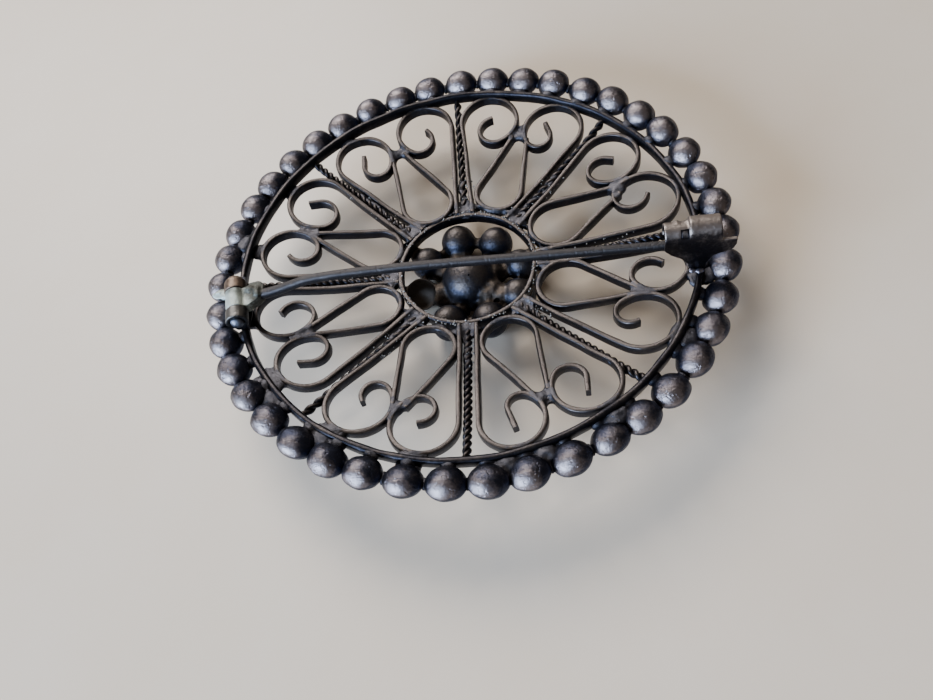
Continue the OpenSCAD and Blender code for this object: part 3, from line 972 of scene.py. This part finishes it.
def roll_radius(x):
    t = max(0.0, min(1.0, (x - ROLL_STEP + 0.08) / 0.16))
    return ROLL_RADII[0] + (ROLL_RADII[1] - ROLL_RADII[0]) * t * t * (3 - 2 * t)


def on_roll(x, a, depth=0.0):
    """A point of the roll at x, under its skin by depth: its +Y side where a is 0, its top at
    90 degrees and the flat sheet at 180."""
    r = roll_radius(x)
    lift = sum(high * math.exp(-((x - at) / width) ** 2) for at, width, high in RIDGES)
    reach = r - depth + lift * max(0.0, min(1.0, (80 - a) / 30))
    q = polar(reach, a)
    return vec(x, SHEET_Y + r + q.x, ROLL_Z + q.y)


def catch():
    """One sheet, soldered on the rim and rolled over into a narrow and a wide roll."""
    shape = Shape()
    rows = []
    for i in range(SHEET_STEPS + 1):
        x = SHEET_LOW[0][0] + (ROLL_END - SHEET_LOW[0][0]) * i / SHEET_STEPS
        low = low_edge(x)
        lip = ROLL_TURN - 12 + 14 * wander(vec(x, 0), 1.2, 3)
        outer = [vec(x, SHEET_Y, low + (ROLL_Z - low) * k / 8) for k in range(8)]
        inner = [p + vec(0, SHEET_T) for p in outer]
        for k in range(ROLL_POINTS + 1):
            outer.append(on_roll(x, 180 - lip * k / ROLL_POINTS))
            inner.append(on_roll(x, 180 - lip * k / ROLL_POINTS, SHEET_T))
        rows.append(outer + inner[::-1])
    shape.rings(rows, caps=False)
    # Each end is closed by faces from the sheet's outer skin to its inner one
    n = len(rows[0])
    for base in (len(shape.points) - n * (SHEET_STEPS + 1), len(shape.points) - n):
        for k in range(n // 2 - 1):
            shape.faces.append((base + k, base + k + 1, base + n - 2 - k, base + n - 1 - k))
    # The sheet's flat corner past the roll's end
    rows = []
    for i in range(9):
        x = ROLL_END - 0.2 + (SHEET_LOW[-1][0] - ROLL_END + 0.2) * i / 8
        rows.append([vec(x, SHEET_Y + y, z) for y, z in (
            (0, low_edge(x)), (SHEET_T, low_edge(x)), (SHEET_T, ROLL_Z), (0, ROLL_Z))])
    shape.rings(rows)
    piece = make("catch_hook", shape, HOOK, "brooch", ["catch"])
    melt(piece, 0.055, 3)
    cut = Shape()
    line = []
    for (xa, ta), (xb, tb) in zip(NOTCH, NOTCH[1:] + NOTCH[:1]):
        line.extend(on_roll(xa + (xb - xa) * k / 6, ta + (tb - ta) * k / 6) for k in range(6))
    cut.tube(line, NOTCH_R, 8, closed=True)
    carve(piece, cut)
    weather(piece, 0.01, 0.8, 6)
    # Bare top, and a painted highlight on the faces turned towards -X, the window's side
    mark_wear_and_sheen(piece, 0.4, 1.3, way=vec(-0.8, 0, 0.2))
    layer = piece.data.attributes["wear_and_sheen"].data
    for v, item in zip(piece.data.vertices, layer):
        if min((v.co / MM - p).length for p in line) < 0.08:
            item.value = -0.1
        elif (v.co / MM - on_roll(*NOTCH_MIDDLE)).length < NOTCH_DULL:
            item.value *= 0.5
    foot = Shape()
    for (x, y, z), radii, lumps, seed, around, down in CATCH_SOLDER:
        foot.ball(vec(x, y, RIM_TOP + z), radii, lumps, 0.5, seed, around, down)
    piece = make("catch_solder", foot, SHINE, "brooch", ["catch"], 80)
    melt(piece, 0.05, 3, 0.1)
    mark_wear_and_sheen(piece, -0.4, 0.8)


def on_hinge(x, y, z):
    """A point given before the hinge axis is turned about the hinge's middle."""
    return vec(HINGE_X, HINGE_Y) + turned(vec(x - HINGE_X, y - HINGE_Y, z), HINGE_TURN)


def hinge():
    """The bracket's knuckles, the rivet, and pale solder that has flooded the border."""
    shape = Shape()
    shape.node("hinge_bracket")
    piece = make("hinge_knuckles", shape, HINGE, "brooch", ["hinge_bracket"], merge=True)
    melt(piece, 0.06, 6)
    weather(piece, 0.012, 0.7, 8)
    # The near knuckle is greyer than the far one, and the plate is dark
    piece.data.materials.append(KNUCKLE)
    piece.data.materials.append(DARK)
    for f in piece.data.polygons:
        near = int(f.center.y / MM < HINGE_Y)
        f.material_index = 2 if f.center.z / MM < PLATE_DARK else near
    # Bare tops, and a painted highlight on the knuckles' sides that face -X
    mark_wear_and_sheen(piece, 0.2, 1.0, way=vec(-0.4, 0, 0))
    for v, item in zip(piece.data.vertices, piece.data.attributes["wear_and_sheen"].data):
        if v.co.z / MM < PLATE_DULL:
            item.value = -0.5
        short = RIM_R - PLATE_IN - v.co.xy.length / MM
        if v.co.z / MM < PLATE_LOW and short > 0 and v.co.y / MM > PLATE_FAR:
            v.co += (v.co * vec(1, 1)).normalized() * short * MM
    rivet = Shape()
    line = [on_hinge(HINGE_X, RIVET_FROM + RIVET_LONG * k / 16, HINGE_Z) for k in range(17)]
    rivet.tube(line, RIVET_R, 24)
    rivet.ball(on_hinge(HINGE_X, RIVET_END, HINGE_Z), RIVET_DOME, 0.04, 0.5, 3, 32, 20)
    piece = make("rivet", rivet, RIVET, "brooch", ["hinge_rivet"], 60)
    mark_wear_and_sheen(piece, -0.5, 0.9)
    flood = Shape()
    for at, radii, lumps, seed in PALE_FLOOD:
        flood.ball(vec(*at), radii, lumps, 0.6, seed, 28, 18)
    piece = make("pale_solder", flood, ROOT, "brooch", ["openwork"], 80)
    melt(piece, 0.06, 3, 0.15)
    mark_wear_and_sheen(piece, -0.2, 0.9)


def pin():
    """The pin's root, palest at its far left, and the wire of its stem."""
    shape = Shape()
    shape.node("pin_root")
    for at, radii, lumps, seed in ROOT_LUMPS:
        shape.ball(vec(*at), radii, lumps, 0.6, seed, 28, 18)
    piece = make("root_of_pin", shape, ROOT, "pin", ["pin_root"], merge=True)
    melt(piece, 0.06, 12, 0.12)
    weather(piece, 0.02, 0.9, 9)
    layer = piece.data.attributes.new("wear_and_sheen", "FLOAT", "POINT")
    for v, item in zip(piece.data.vertices, layer.data):
        p = v.co / MM
        fade = max(0.0, min(1.0, (-19.3 - p.x - 0.5 * (p.y + 5)) / 2.0))
        side = max(0.25, min(1.0, (-4.0 - p.y) / 1.2))
        item.value = fade * side * (0.6 + 0.4 * v.normal.z)
    line = resample([vec(*p) for p in STEM_LINE], STEM_STEP)
    for _ in range(STEM_ROUNDS):
        line = [line[0], *[(a + b * 2 + c) / 4 for a, b, c in zip(line, line[1:], line[2:])],
                line[-1]]
    rows = []
    for i, p in enumerate([*line, vec(*STEM_TIP)]):
        t = i / len(line)
        r = STEM_R[1] + (STEM_R[2] - STEM_R[1]) * t
        r = STEM_TIP_R if t == 1 else max(r, STEM_R[0] - t * 0.4)
        along = (line[min(i + 1, len(line) - 1)] - line[min(i, len(line) - 2)]).normalized()
        up = vec(0, 1).cross(along).normalized() * -1
        rows.append([p + vec(0, r * math.copysign(abs(math.cos(u)) ** STEM_SQUARE, math.cos(u)))
                     + up * (r * math.copysign(abs(math.sin(u)) ** STEM_SQUARE, math.sin(u)))
                     for u in (2 * math.pi * k / STEM_SIDES for k in range(STEM_SIDES))])
    wire = Shape()
    wire.rings(rows)
    piece = make("pin_wire", wire, WIRE, "pin", ["pin_stem"])
    weather(piece, 0.012, 3.0, 10)
    mark_wear_and_sheen(piece, 0.2, 1.0)


camera()
floor()
light()
border()
rim()
scrollwork()
spokes()
centre_ring()
boss()
catch()
hinge()
pin()
